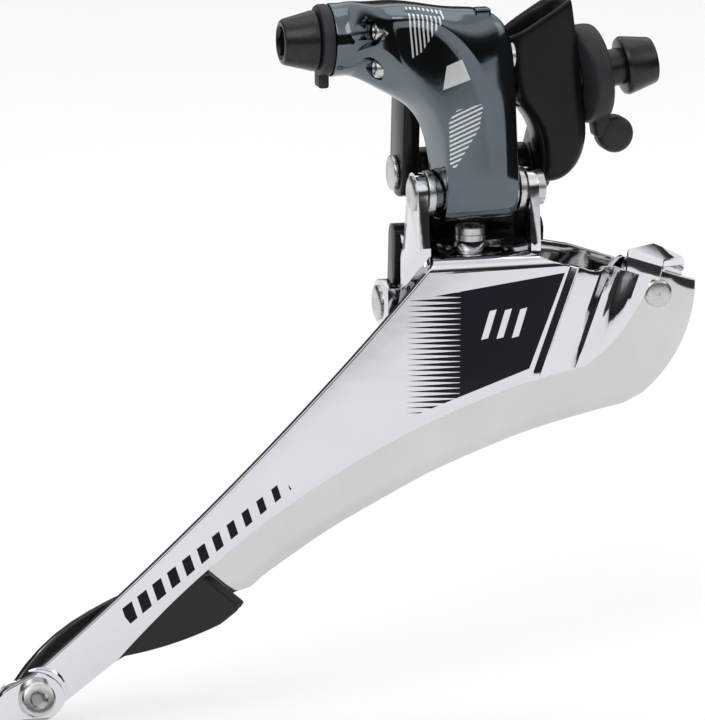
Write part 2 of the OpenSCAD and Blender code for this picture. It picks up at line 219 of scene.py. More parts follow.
# ---- finishes

def chrome_base(name):
    """Bright plating: a slightly blue metal with haze, fine rubbing marks and a soft wave."""
    made = Finish(name)
    haze = made.noise(0.12, 4)
    rub = made.noise(1.2, 5, (1, 1, 6))
    made.set(Metallic=1.0,
             Base_Color=made.mix(haze, grey(0.70, (0, 0.008, 0.05)), grey(0.64, (0, 0.004, 0.03))),
             Roughness=0.045 + haze * 0.05 + rub * 0.03)
    made.bump(made.noise(0.22, 2), 0.12, 0.3)
    return made


def chrome():
    return chrome_base("polished_chrome")


PANEL = [(-26.6, -44.9), (-8.9, -38.9), (-3.9, -25.6), (-26.6, -28.3)]
PANEL_SOLID_X = -18.9
SPIKES = 22


def inner_chrome():
    """The inner plate's chrome, a little warmer and darker, with stretched streaks of lighter and darker tone
    mixed into its colour.
    """
    made = chrome_base("inner_chrome")
    streak = made.noise(0.05, 4, (1.6, 1, 1))
    made.set(Base_Color=made.mix(streak, grey(0.50, (0.008, 0.006, 0)),
                                 grey(0.66, (0.006, 0.004, 0))))
    return made


def printed_chrome():
    """The outer plate's chrome with its dark panel, spiked edge and plain marks."""
    made = chrome_base("printed_chrome")
    out = made.facing_out()
    panel = made.inside(PANEL)
    solid = made.x > PANEL_SOLID_X
    low, high = PANEL[0][1], PANEL[3][1]
    comb = (((made.z - low) * (SPIKES / (high - low)) + made.x * 0.06).fraction() - 0.5).size()
    reach = (made.x - PANEL[0][0]) / (PANEL_SOLID_X - PANEL[0][0])
    spikes = comb < reach * 0.46
    dark = panel * solid.at_least(spikes)
    mark = None
    for centre in (-14.6, -12.4, -10.2):
        bar = made.inside([(centre - 1.3, -34.4), (centre - 0.3, -34.2),
                           (centre + 0.9, -30.2), (centre - 0.1, -30.4)])
        mark = bar if mark is None else mark.at_least(bar)
    dashes = tail_dashes(made)
    dark = (dark * (1 - mark)).at_least(dashes) * out
    flake = made.noise(14, 2)
    ink = made.mix(flake, (0.003, 0.0035, 0.009, 1), (0.005, 0.006, 0.012, 1))
    base = made.shader.inputs["Base Color"].links[0].from_socket
    made.set(Base_Color=made.mix(dark, Wire(made.tree, base), ink),
             Metallic=1 - dark,
             Roughness=0.07 + dark * (0.26 + flake * 0.1), Specular_IOR_Level=0.16)
    return made


DASH_START = Vector((-66.4, -70.2))
DASH_END = Vector((-43.4, -53.0))
DASHES = 11


def tail_dashes(made):
    """A row of plain slanted dashes along the tail."""
    run = (DASH_END - DASH_START).normalized()
    along = (made.x - DASH_START.x) * run.x + (made.z - DASH_START.y) * run.y
    across = (made.z - DASH_START.y) * run.x - (made.x - DASH_START.x) * run.y
    length = (DASH_END - DASH_START).length
    pitch = length / DASHES
    height = 1.25 - along * 0.012
    tooth = ((along + across * -0.35) / pitch).fraction()
    inside = (along > 0.0) * (along < length) * (across.size() < height)
    return inside * (tooth < 0.66 - along * 0.009)


def gunmetal():
    """The outer link's polished blue-grey anodising with light printed stripes."""
    made = Finish("gunmetal_anodised")
    cloud = made.noise(0.15, 3)
    skin = made.mix(cloud, (0.078, 0.100, 0.116, 1), (0.120, 0.144, 0.160, 1))
    out = made.facing_out()
    upright = (((made.x * 1.0 + made.z * 0.06) * 1.70).fraction() < 0.42) * made.inside(
        [(-25.9, 3.6), (-24.2, 5.9), (-20.2, 8.2), (-21.0, 11.9), (-25.9, 12.3)])
    slanted = (((made.z - made.x * 0.385) * 1.58).fraction() < 0.45) * made.inside(
        [(-20.4, -9.6), (-19.7, -10.4), (-16.2, -4.9), (-15.6, -1.6), (-19.4, -2.2),
         (-20.6, -3.6)])
    block = made.inside([(-21.4, 0.6), (-17.4, 1.8), (-18.6, 4.6), (-20.8, 3.8)])
    print_mask = upright.at_least(slanted).at_least(block) * out
    made.set(Base_Color=made.mix(print_mask, skin, (0.66, 0.69, 0.70, 1)),
             Metallic=1 - print_mask * 0.35,
             Roughness=0.085 + cloud * 0.05 + print_mask * 0.22,
             Coat_Weight=0.35, Coat_Roughness=0.05)
    made.bump(made.noise(0.35, 2), 0.10, 0.2)
    return made


def black_satin(name, roughness, value, shine):
    """Black coated metal with a fine grain and faint wear."""
    made = Finish(name)
    grain = made.noise(9, 4)
    wear = made.noise(0.5, 5)
    made.set(Base_Color=made.mix(wear, grey(value, (0, 0, value * 0.3)),
                                 grey(value * 1.7, (0, 0, value * 0.5))),
             Metallic=0.0, Roughness=roughness + grain * 0.10, Specular_IOR_Level=shine)
    made.bump(grain, 0.10, 0.02)
    return made


def oxide():
    """Black oxide on machined steel: fine turning rings round X, and a dull sheen."""
    made = Finish("black_oxide")
    rings = made.noise(1.0, 3, (26, 0.6, 0.6))
    worn = made.noise(0.8, 5)
    made.set(Base_Color=made.mix(worn, grey(0.020), grey(0.042)), Metallic=0.8,
             Roughness=0.22 + rings * 0.12)
    made.bump(rings, 0.2, 0.02)
    return made


def bare_steel():
    """Turned steel with tool marks and a light stain."""
    made = Finish("bare_steel")
    turned = made.noise(1.4, 4, (1, 1, 8))
    stain = made.noise(0.9, 4)
    made.set(Base_Color=made.mix(stain, grey(0.62, (0.02, 0.01, 0)), grey(0.45)), Metallic=1.0,
             Roughness=0.20 + turned * 0.14)
    made.bump(turned, 0.12, 0.02)
    return made


def bronze():
    """Sintered bronze for the bushes."""
    made = Finish("bush_bronze")
    grain = made.noise(6, 4)
    made.set(Base_Color=made.mix(grain, (0.50, 0.42, 0.32, 1), (0.62, 0.55, 0.45, 1)),
             Metallic=1.0, Roughness=0.24 + grain * 0.12)
    made.bump(grain, 0.1, 0.02)
    return made


def moulded():
    """Black moulded plastic with a slight pebble."""
    made = Finish("moulded_pad")
    pebble = made.noise(5, 3)
    made.set(Base_Color=made.mix(pebble, grey(0.004), grey(0.008)), Metallic=0.0,
             Roughness=0.16 + pebble * 0.08, Specular_IOR_Level=0.35)
    made.bump(pebble, 0.08, 0.02)
    return made


def paper():
    """The pale floor."""
    made = Finish("studio_floor")
    fibre = made.noise(0.02, 3)
    made.set(Base_Color=made.mix(fibre, grey(0.95), grey(0.97)), Roughness=0.75)
    return made


def felt():
    """The dark cloth of the flags beside the object."""
    made = Finish("studio_flag")
    made.set(Base_Color=made.mix(made.noise(0.05, 3), grey(0.012), grey(0.02)), Roughness=0.9)
    return made


FINISH = {"chrome": chrome(), "inner": inner_chrome(), "printed": printed_chrome(),
          "gunmetal": gunmetal(), "body": black_satin("black_body", 0.20, 0.004, 0.20),
          "dull": black_satin("dull_black", 0.42, 0.016, 0.25),
          "oxide": oxide(), "steel": bare_steel(), "bronze": bronze(), "pad": moulded()}
FINISH = {key: made.material for key, made in FINISH.items()}
BODY_OF = {node: body for body, nodes in frame["record"]["behaviour"]["bodies"].items()
           for node in nodes}


# ---- modelling helpers

MERGE, CAD_MERGE = 0.0005, 0.0008     # points nearer than this are one point


def activate(piece):
    """Selects the piece alone and makes it active."""
    bpy.ops.object.select_all(action="DESELECT")
    piece.select_set(True)
    bpy.context.view_layer.objects.active = piece


def modify(piece, kind, **settings):
    """Adds one modifier and applies it."""
    activate(piece)
    made = piece.modifiers.new(kind.lower(), kind)
    for key, value in settings.items():
        setattr(made, key, value)
    bpy.ops.object.modifier_apply(modifier=made.name)
    return piece


def carve(piece, cutter):
    """Cuts one piece with another, which is used up."""
    modify(piece, "BOOLEAN", operation="DIFFERENCE", object=cutter, solver="EXACT")
    bpy.data.objects.remove(cutter)
    return piece


def join(pieces):
    """Joins the pieces into the first."""
    activate(pieces[0])
    for other in pieces[1:]:
        other.select_set(True)
    bpy.ops.object.join()
    return bpy.context.view_layer.objects.active


def everything():
    bpy.ops.mesh.select_all(action="SELECT")


def face_outward():
    """Turns the whole mesh's faces outwards, in edit mode."""
    everything()
    bpy.ops.mesh.normals_make_consistent(inside=False)


def settle(piece):
    """Moves the piece's place, turn and scale into its mesh."""
    activate(piece)
    bpy.ops.object.transform_apply(location=True, rotation=True, scale=True)
    return piece


def edit(piece, work):
    """Runs work on the piece in edit mode with everything deselected."""
    activate(piece)
    bpy.ops.object.mode_set(mode="EDIT")
    bpy.ops.mesh.select_mode(type="VERT")
    bpy.ops.mesh.select_all(action="DESELECT")
    work()
    bpy.ops.object.mode_set(mode="OBJECT")
    return piece


def heal():
    """Merges doubled points and turns every face outwards, in edit mode."""
    everything()
    bpy.ops.mesh.remove_doubles(threshold=MERGE)
    face_outward()


def finish(piece, name, finish_name, nodes, smooth=32):
    """Names a piece, scales it to metres, gives it its finish and ties it to the frame."""
    settle(piece)
    piece.data.transform(Matrix.Scale(MM, 4))
    piece.name = name
    piece.data.name = name
    piece.data.materials.clear()
    piece.data.materials.append(FINISH[finish_name])
    activate(piece)
    bpy.ops.object.shade_smooth_by_angle(angle=math.radians(smooth))
    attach(piece, BODY_OF[nodes[0]])
    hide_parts(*nodes)
    return piece


def rounded_copy(node, width):
    """A copy of a CAD node's shape, merged, with its sharp edges rounded."""
    piece = frame["nodes"][node].copy()
    piece.data = piece.data.copy()
    piece.parent = None
    piece.hide_render = False
    bpy.context.collection.objects.link(piece)
    piece.matrix_world = Matrix.Identity(4)
    piece.data.transform(Matrix.Scale(1 / MM, 4))

    def work():
        everything()
        bpy.ops.mesh.remove_doubles(threshold=CAD_MERGE)
        bpy.ops.mesh.dissolve_limited(angle_limit=math.radians(0.6))
    edit(piece, work)
    return modify(piece, "BEVEL", width=width, segments=2, limit_method="ANGLE",
                  angle_limit=math.radians(35), miter_outer="MITER_ARC")


def softened(node, finish_name, width):
    """Shows a node as its own shape with eased edges."""
    return finish(rounded_copy(node, width), node + "_shape", finish_name, [node], smooth=40)


def turned(profile, steps=64):
    """A closed solid spun round the X axis from (x, radius) points."""
    bpy.ops.mesh.primitive_circle_add(vertices=len(profile) + 1, fill_type="NOTHING")
    piece = bpy.context.object
    bpy.ops.object.mode_set(mode="EDIT")
    shape = bmesh.from_edit_mesh(piece.data)
    shape.verts.ensure_lookup_table()
    shape.edges.ensure_lookup_table()
    spare = shape.verts[len(profile)]
    bmesh.ops.delete(shape, geom=[spare], context="VERTS")
    shape.verts.ensure_lookup_table()
    for point, (along, radius) in zip(shape.verts, profile):
        point.co = (along, 0, radius)
    bmesh.update_edit_mesh(piece.data)
    everything()
    bpy.ops.mesh.spin(steps=steps, angle=2 * math.pi, center=(0, 0, 0), axis=(1, 0, 0))
    heal()
    bpy.ops.object.mode_set(mode="OBJECT")
    return piece


def shift(x, y=0.0, z=0.0):
    return Matrix.Translation((x, y, z))


def quarter(axis):
    return Matrix.Rotation(math.pi / 2, 4, axis)


def placed(piece, matrix):
    """Moves the piece's points by the matrix."""
    piece.data.transform(matrix)
    return piece


def hex_cutter(depth, radius, start, sides=6):
    """A straight prism along X from start, six-sided unless told otherwise."""
    bpy.ops.mesh.primitive_cylinder_add(vertices=sides, radius=radius, depth=depth,
                                        location=(start + depth / 2, 0, 0),
                                        rotation=(0, math.pi / 2, 0))
    return settle(bpy.context.object)


def along(origin, direction):
    """A matrix that takes +X to the direction and the origin to its place."""
    turn = Vector((1, 0, 0)).rotation_difference(Vector(direction)).to_matrix().to_4x4()
    return Matrix.Translation(origin) @ turn


# ---- more ways to shape a piece

def arc(first, through, last, steps=8):
    """Points on the circle through three points, given in XZ."""
    (ax, ay), (bx, by), (cx, cy) = first, through, last
    d = 2 * (ax * (by - cy) + bx * (cy - ay) + cx * (ay - by))
    aa, bb, cc = ax * ax + ay * ay, bx * bx + by * by, cx * cx + cy * cy
    ux = (aa * (by - cy) + bb * (cy - ay) + cc * (ay - by)) / d
    uy = (aa * (cx - bx) + bb * (ax - cx) + cc * (bx - ax)) / d
    radius = math.hypot(ax - ux, ay - uy)

    def turn(angle):
        return (angle + math.pi) % (2 * math.pi) - math.pi
    begin = math.atan2(ay - uy, ax - ux)
    half = turn(math.atan2(by - uy, bx - ux) - begin)
    sweep = half + turn(math.atan2(cy - uy, cx - ux) - begin - half)
    return [(ux + radius * math.cos(begin + sweep * k / steps),
             uy + radius * math.sin(begin + sweep * k / steps)) for k in range(steps + 1)]


def blank(outline, front, thickness, rim=0.14):
    """A flat plate in XZ whose edges are eased by the rim, front face outboard."""
    bpy.ops.mesh.primitive_circle_add(vertices=len(outline), fill_type="NGON")
    piece = bpy.context.object
    for vertex, (x, z) in zip(piece.data.vertices, outline):
        vertex.co = (x, front + rim, z)

    def work():
        face_outward()
        bpy.ops.mesh.extrude_region_move(
            TRANSFORM_OT_translate={"value": (0, thickness - 2 * rim, 0)})
        face_outward()
        for side in (-1, 1):
            bpy.ops.mesh.select_all(action="DESELECT")
            pick_faces(piece, lambda face: face.normal.y * side > 0.9)
            bpy.ops.mesh.inset(thickness=rim * 0.45, depth=rim * 0.75, use_even_offset=True)
            bpy.ops.mesh.inset(thickness=rim * 0.8, depth=rim * 0.25, use_even_offset=True)
    return edit(piece, work)


def pick_faces(piece, wanted):
    """Selects in edit mode the faces that the test likes."""
    shape = bmesh.from_edit_mesh(piece.data)
    bpy.ops.mesh.select_mode(type="FACE")
    for face in shape.faces:
        face.select_set(wanted(face))
    shape.select_flush_mode()
    bmesh.update_edit_mesh(piece.data)


def crease(piece, point, normal):
    """Cuts a line of new edges across the piece, which keeps its shape."""
    def work():
        everything()
        bpy.ops.mesh.bisect(plane_co=point, plane_no=normal, threshold=0.0001)
    return edit(piece, work)


def press(piece, rule):
    """Moves each point of the piece to where the rule says, as a press tool does."""
    for vertex in piece.data.vertices:
        vertex.co = rule(vertex.co.copy())
    return piece


def loft(rings, rounds=0, sharp=()):
    """A closed skin through rings of points, extruded ring by ring. Sharp lists the ring
    places whose lengthwise edges stay crisp."""
    count = len(rings[0])
    bpy.ops.mesh.primitive_circle_add(vertices=count, fill_type="NOTHING")
    piece = bpy.context.object
    for vertex, point in zip(piece.data.vertices, rings[0]):
        vertex.co = point

    def work():
        everything()
        for before, after in zip(rings, rings[1:]):
            bpy.ops.mesh.extrude_region_move()
            shape = bmesh.from_edit_mesh(piece.data)
            for vertex in [v for v in shape.verts if v.select]:
                nearest = min(range(count), key=lambda k: (vertex.co - Vector(before[k])).length)
                vertex.co = after[nearest]
            bmesh.update_edit_mesh(piece.data)
        everything()
        bpy.ops.mesh.fill_holes(sides=0)
        face_outward()
    edit(piece, work)

    def harden():
        """Creases the chosen places' lengthwise edges."""
        shape = bmesh.from_edit_mesh(piece.data)
        bpy.ops.mesh.select_mode(type="EDGE")
        places = {k: [Vector(ring[k]) for ring in rings] for k in sharp}
        for edge in shape.edges:
            ends = [v.co for v in edge.verts]
            edge.select_set(any(
                min((ends[0] - p).length for p in lane) < 0.002
                and min((ends[1] - p).length for p in lane) < 0.002
                for lane in places.values()))
        bmesh.update_edit_mesh(piece.data)
        bpy.ops.transform.edge_crease(value=0.75)
    if sharp:
        edit(piece, harden)
    if rounds:
        modify(piece, "SUBSURF", levels=rounds, render_levels=rounds)
    return piece


def block(low, high, edge=0.0):
    """A cutter or a plain block between two corners."""
    low, high = Vector(low), Vector(high)
    bpy.ops.mesh.primitive_cube_add(size=1, location=(low + high) / 2)
    piece = bpy.context.object
    piece.scale = high - low
    settle(piece)
    if edge:
        modify(piece, "BEVEL", width=edge, segments=3)
    return piece


def drill(piece, matrix, radius, depth, sides=48):
    """Cuts a straight hole along X of the matrix's frame, from its origin."""
    return carve(piece, placed(hex_cutter(depth, radius, 0, sides), matrix))


def side_blank(outline, left, right, rim):
    """A plate like blank, but flat in YZ and as thick as from left to right."""
    piece = blank([(y, z) for y, z in outline], left, right - left, rim)
    swap = Matrix(((0, 1, 0, 0), (1, 0, 0, 0), (0, 0, 1, 0), (0, 0, 0, 1)))
    return edit(placed(piece, swap), heal)


def stadium(start, end, radius, steps=14):
    """The outline of a bar with round ends."""
    lean = math.atan2(end[1] - start[1], end[0] - start[0])
    points = []
    for (y, z), first in ((start, math.pi / 2), (end, -math.pi / 2)):
        for k in range(steps + 1):
            angle = lean + first + math.pi * k / steps
            points.append((y + radius * math.cos(angle), z + radius * math.sin(angle)))
    return points


def oval(left, right, front, back, low, high, points=28):
    """A level or leaning ring that is nearly a rectangle with very round corners."""
    ring = []
    for k in range(points):
        way = [math.copysign(abs(part) ** 0.62, part)
               for part in (math.cos(math.tau * k / points), math.sin(math.tau * k / points))]
        ring.append(((left + right + (right - left) * way[0]) / 2,
                     (front + back + (back - front) * way[1]) / 2,
                     (low + high + (high - low) * way[0]) / 2))
    return ring


def prism(outline, front, back):
    """A plain cutter with an XZ outline between two depths."""
    return blank(outline, front, back - front, 0.01)


# ---- outer link

def link_section(inner, outer, ridge, ridge_y, step, step_y, rise, outer_y, back_y, wall_y):
    """One ring of the outer link: side wall, ridge, printed face, raised flank, back."""
    profile = [(0.0, wall_y), (0.3 * ridge, wall_y + 0.42 * (ridge_y - wall_y)),
               (0.8 * ridge, wall_y + 0.90 * (ridge_y - wall_y)), (ridge, ridge_y),
               (ridge + 0.07, ridge_y - 0.1), (step - 0.035, step_y),
               (step + 0.03, step_y - rise), ((step + 1) / 2, step_y - 0.55 * rise + 0.05),
               (0.95, outer_y), (0.985, outer_y + 0.5), (1.0, outer_y + 1.8),
               (1.0, back_y - 1.0), (0.93, back_y), (0.5, back_y), (0.08, back_y),
               (0.0, back_y - 0.8)]
    return [(inner[0] + (outer[0] - inner[0]) * t, y, inner[1] + (outer[1] - inner[1]) * t)
            for t, y in profile]


def round_section(x, radius, y, z):
    """A round ring of the link's arm, whose points match those of link_section."""
    turns = (0, .06, .16, .26, .36, .5, .6, .72, .84, .92, 1.0, 1.06, 1.2, 1.5, 1.8, 1.94)
    return [(x, y - radius * math.sin(math.pi * t), z - radius * math.cos(math.pi * t))
            for t in turns]


LINK_ROWS = [
    ((-29.6, 0.3), (-29.4, 11.6), .60, -6.2, .80, -7.0, 0, -6.2, 2.6, -2.4),
    ((-27.6, -.8), (-26.8, 12.2), .40, -8.9, .80, -8.4, 0, -6.6, 0.6, -3.0),
    ((-25.8, -1.7), (-23.2, 11.8), .25, -9.35, .86, -8.5, .1, -7.1, -1.0, -3.4),
    ((-24.2, -3.0), (-18.9, 11.0), .16, -9.55, .79, -8.7, .5, -7.4, -1.8, -3.4),
    ((-23.0, -4.9), (-13.9, 11.2), .12, -9.65, .60, -8.95, .9, -8.4, -2.0, -3.2),
    ((-22.2, -7.0), (-11.1, 8.2), .10, -9.7, .56, -9.1, .9, -8.8, -2.2, -3.0),
    ((-21.8, -9.4), (-10.6, 1.4), .09, -9.6, .62, -9.2, .35, -8.8, -2.2, -3.0),
    ((-21.5, -11.6), (-10.2, -8.0), .08, -9.5, .60, -9.6, 0, -8.9, -1.6, -3.0),
    ((-21.4, -13.7), (-9.9, -13.0), .08, -9.4, .60, -9.9, 0, -9.1, -0.9, -3.0),
    ((-21.4, -14.0), (-9.9, -13.3), .08, -9.0, .60, -9.3, 0, -8.7, -0.7, -3.0),
    ((-21.4, -16.6), (-9.8, -16.3), .08, -8.5, .60, -8.8, 0, -8.3, -1.0, -3.0),
    ((-21.3, -18.0), (-9.9, -17.8), .08, -7.0, .60, -7.2, 0, -7.0, -1.9, -4.0),
    ((-20.9, -18.4), (-10.3, -18.3), .12, -5.9, .60, -5.9, 0, -5.9, -2.9, -4.3),
]


def outer_link():
    """The anodised link: a round arm end that swells into a ridged, stepped shell."""
    end = ARM_END
    skin = loft([
        round_section(end, 2.6, 3, 6), round_section(end, 4.9, 3, 6),
        round_section(end + 0.15, 5.2, 3, 6), round_section(end + 1.4, 5.0, 3.0, 6.0),
        round_section(end + 3.0, 5.2, 2.3, 6.3),
    ] + [link_section(*row) for row in LINK_ROWS], 3, sharp=(3, 5, 6))
    carve(skin, block((-20.1, -8.85, -4.2), (-12.7, 6.5, 8.6), 0.9))
    for node, radius in (("high_limit_screw", 1.6), ("low_limit_screw", 1.9)):
        head = middle(node)
        drill(skin, shift(end - 3, head.y, head.z), radius,
              corners(node)[0].x + 1.0 - end + 3)
        drill(skin, shift(end - 3, head.y, head.z), 1.38,
              corners(node)[1].x + 0.2 - end + 3)
    drill(skin, shift(end - 2, CABLE.y, CABLE.z), 2.62, 9.1)
    carve(skin, prism([(-32.6, 4.6), (-29.4, 6.6), (-28.4, 8.6), (-30.6, 10.2)], -8, -2.6))
    drill(skin, shift(-30, LOWER_OUTER.y, LOWER_OUTER.z), 2.4, 30)
    lug = block((-16.4, -8.0, 9.4), (-14.2, -6.0, 11.3), 0.35)
    return finish(join([skin, lug]), "outer_link_skin", "gunmetal", ["outer_link"], smooth=35)


# ---- outer plate

FACE = -10.0                          # the outer plate's outboard side
SHEET, SHEET_EDGE = 1.2, 0.16         # thickness of both plates, and how far edges are eased
FOLD_FROM, FOLD_RADIUS = -24.5, 1.8
RIB_TOP, RIB_LOW = Vector((-3.4, -25.4)), Vector((-8.7, -40.5))
RIB_RUN = (RIB_TOP - RIB_LOW).normalized()
RIB_PROFILE = [(0, 0), (0.9, -0.55), (1.2, -0.36), (4.3, -0.45), (4.95, 0.35), (5.5, -0.75),
               (7.0, -0.95), (8.4, -0.85), (9.6, -0.45), (10.8, 0.1), (12.0, 0.8), (15, 2.8)]
VALLEY = 4
WING_LEAN = 2.2


def rib_distance(point):
    """How far a point lies forward of the first crease."""
    away = Vector((point.x - RIB_LOW.x, point.z - RIB_LOW.y))
    return away.x * RIB_RUN.y - away.y * RIB_RUN.x


def relief(point):
    """How far inboard the nose's pressing moves a point of the outer plate."""
    far = rib_distance(point)
    if far <= 0:
        return 0.0
    for place, ((d0, y0), (d1, y1)) in enumerate(zip(RIB_PROFILE, RIB_PROFILE[1:])):
        if far <= d1:
            depth = (point.z + 39.0) / 13.2
            wide = min(max(depth, 0.0), 1.0)
            if place + 1 == VALLEY:
                y1 = -0.6 + (y1 + 0.6) * wide
            if place == VALLEY:
                y0 = -0.6 + (y0 + 0.6) * wide
            swell = math.sin(math.pi * (far - 5.5) / 4.5) if 5.5 < far < 10.0 else 0.0
            return y0 + (y1 - y0) * (far - d0) / (d1 - d0) + WING_LEAN * swell * wide * wide
    return RIB_PROFILE[-1][1]


def plate_rule(point):
    """Presses the nose and rolls the top edge over into the shelf."""
    point.y += relief(point)
    if point.x > -3.2 or point.z <= FOLD_FROM:
        return point
    depth = point.y - FACE
    run = point.z - FOLD_FROM
    quarter = FOLD_RADIUS * math.pi / 2
    centre = FACE + FOLD_RADIUS
    if run < quarter:
        angle = run / FOLD_RADIUS
        point.y = centre - (FOLD_RADIUS - depth) * math.cos(angle)
        point.z = FOLD_FROM + (FOLD_RADIUS - depth) * math.sin(angle)
    else:
        point.y = centre + run - quarter
        point.z = FOLD_FROM + FOLD_RADIUS - depth
    return point


# The tail screw's axis as +X, from the outer plate's face down and inboard
TAIL_LEAN = math.radians(20)
TAIL = along((-79.0, FACE, -81), (0, math.cos(TAIL_LEAN), -math.sin(TAIL_LEAN)))
TAIL_HOLE = 1.3


def outer_plate():
    """The outer cage plate with its pressed nose, folded shelf, bridge and screw boss."""
    shelf_end = FOLD_FROM + FOLD_RADIUS * math.pi / 2 + 8.5
    outline = ([(-22.6, shelf_end), (-22.6, -22.4), (-22.8, -23.6)]
               + arc((-23.5, -24.4), (-48, -49.8), (-79.4, -77.6), 24)
               + arc((-82.4, -78.9), (-84.4, -81.4), (-83.6, -84), 6)
               + arc((-78, -84.6), (-76.2, -83.4), (-74.9, -81.7), 4)
               + arc((-67.4, -76.2), (-34.7, -51.2), (-1, -38.9), 26)
               + arc((-0.2, -38.4), (5.0, -34), (10.1, -25.7), 10)[1:]
               + [(9.4, -25.6), (4.9, -24.0), (4.2, -24.1)]
               + arc((3.2, -24.6), (1.2, -25.5), (-1.4, -25.0), 5)
               + arc((-4, -24.4), (-6.4, -23.5), (-8.9, -21.6), 5)
               + [(-9.3, -20.4), (-9.3, shelf_end)])
    piece = blank(outline, FACE, SHEET, SHEET_EDGE)
    for height in (FOLD_FROM - 0.35, FOLD_FROM - 0.1):
        crease(piece, (0, 0, height), (0, 0, 1))
    for row in range(13):
        height = FOLD_FROM + FOLD_RADIUS * math.pi / 2 * row / 12
        crease(piece, (0, 0, height), (0, 0, 1))
    across = Vector((RIB_RUN.y, 0, -RIB_RUN.x))
    origin = Vector((RIB_LOW.x, 0, RIB_LOW.y))
    marks = [0, 0.1, 0.8, 0.9, 1.0, 1.2, 1.3, 4.2, 4.3, 4.95, 5.4, 5.5, 5.65]
    marks += [6.0 + 0.5 * k for k in range(15)]
    for far in marks:
        crease(piece, origin + across * far, across)
    for height in (-39, -36.5, -34, -31.5, -29, -27):
        crease(piece, (0, 0, height), (0, 0, 1))
    press(piece, plate_rule)
    boss = placed(turned([(0.9, 0), (0.9, 3.2), (2.1, 3.2), (2.3, 3.0), (2.3, 0)]), TAIL)
    for part in (piece, boss):
        drill(part, TAIL @ shift(-6), TAIL_HOLE, 30)
    piece = join([piece, boss, nose_bridge(), tail_arc()])
    return finish(piece, "outer_plate_sheet", "printed", ["outer_plate"], smooth=24)


def bar_section(rear, front, down, edge=SHEET_EDGE):
    """A strip's ring: rear and front points of its upper side, and the way down."""
    rear, front, down = Vector(rear), Vector(front), Vector(down)
    wide = (front - rear).normalized() * edge
    dip = down.normalized() * edge
    return [rear + wide, front - wide, front + dip, front + down - dip, front + down - wide,
            rear + down + wide, rear + down - dip, rear + dip]


def nose_bridge():
    """The strip that folds over the chain from the wing to the inner plate."""
    return loft([bar_section(*row) for row in (
        ((4.7, -10.85, -25.6), (9.9, -10.0, -27.6), (0.0, 1.1, 0)),
        ((4.75, -10.85, -24.6), (10.2, -9.95, -26.6), (0.05, 1.08, -0.15)),
        ((4.9, -10.6, -23.7), (10.5, -9.7, -25.7), (0.1, 0.9, -0.6)),
        ((5.1, -10.0, -23.1), (10.8, -9.2, -25.2), (0.05, 0.5, -1.0)),
        ((5.6, -9.2, -22.9), (11.1, -8.5, -25.0), (0, 0.1, -1.15)),
        ((10.5, -5.2, -23.2), (13.6, -5.0, -25.7), (0, 0, -1.2)),
        ((14.2, 0.2, -25.3), (16.9, 0.2, -26.7), (0, 0, -1.2)),
        ((15.0, 1.5, -26.0), (17.4, 1.3, -27.1), (0, -0.5, -1.05)),
        ((15.1, 2.3, -26.9), (17.6, 2.1, -28.0), (0, -0.9, -0.8)),
        ((15.0, 2.7, -28.0), (17.5, 2.7, -29.0), (0, -1.1, -0.2)),
        ((11.4, 2.8, -33.6), (16.4, 2.8, -34.2), (0, -1.1, 0)),
    )])


def tail_arc():
    """The raised crescent pressed into the tail round its screw."""
    rings = []
    for k in range(17):
        angle = math.radians(2 + 100 * k / 16)
        out = Vector((math.cos(angle), 0, math.sin(angle)))
        swell = 0.10 + 0.36 * math.sin(math.pi * k / 16)
        centre = Vector((-79.0, FACE, -80.9)) + out * 4.2
        rings.append([centre + out * swell * 1.3 * math.cos(t)
                      - Vector((0, 1, 0)) * swell * math.sin(t)
                      for t in (2 * math.pi * j / 12 for j in range(12))])
    return loft(rings)


# ---- inner plate and tail pad

INNER_FACE = 0.4                      # the inner plate's outboard side
PAD_THICK = 1.2
FLARE_X, FLARE = -28.0, math.radians(5.6)
LOWER_RIM = (-45.9, -71.2), (-20, -56), (8.7, -47.8)
NOSE_RIM = (11.5, -46.5), (16.4, -41), (19.2, -30.4)
RIM_WIDTH = 1.72


def flared(point):
    """Turns the tail inboard from the flare's start."""
    if point.x < FLARE_X:
        run, side = FLARE_X - point.x, point.y - INNER_FACE
        point.x = FLARE_X - run * math.cos(FLARE)
        point.y = INNER_FACE + side + run * math.sin(FLARE)
    return point


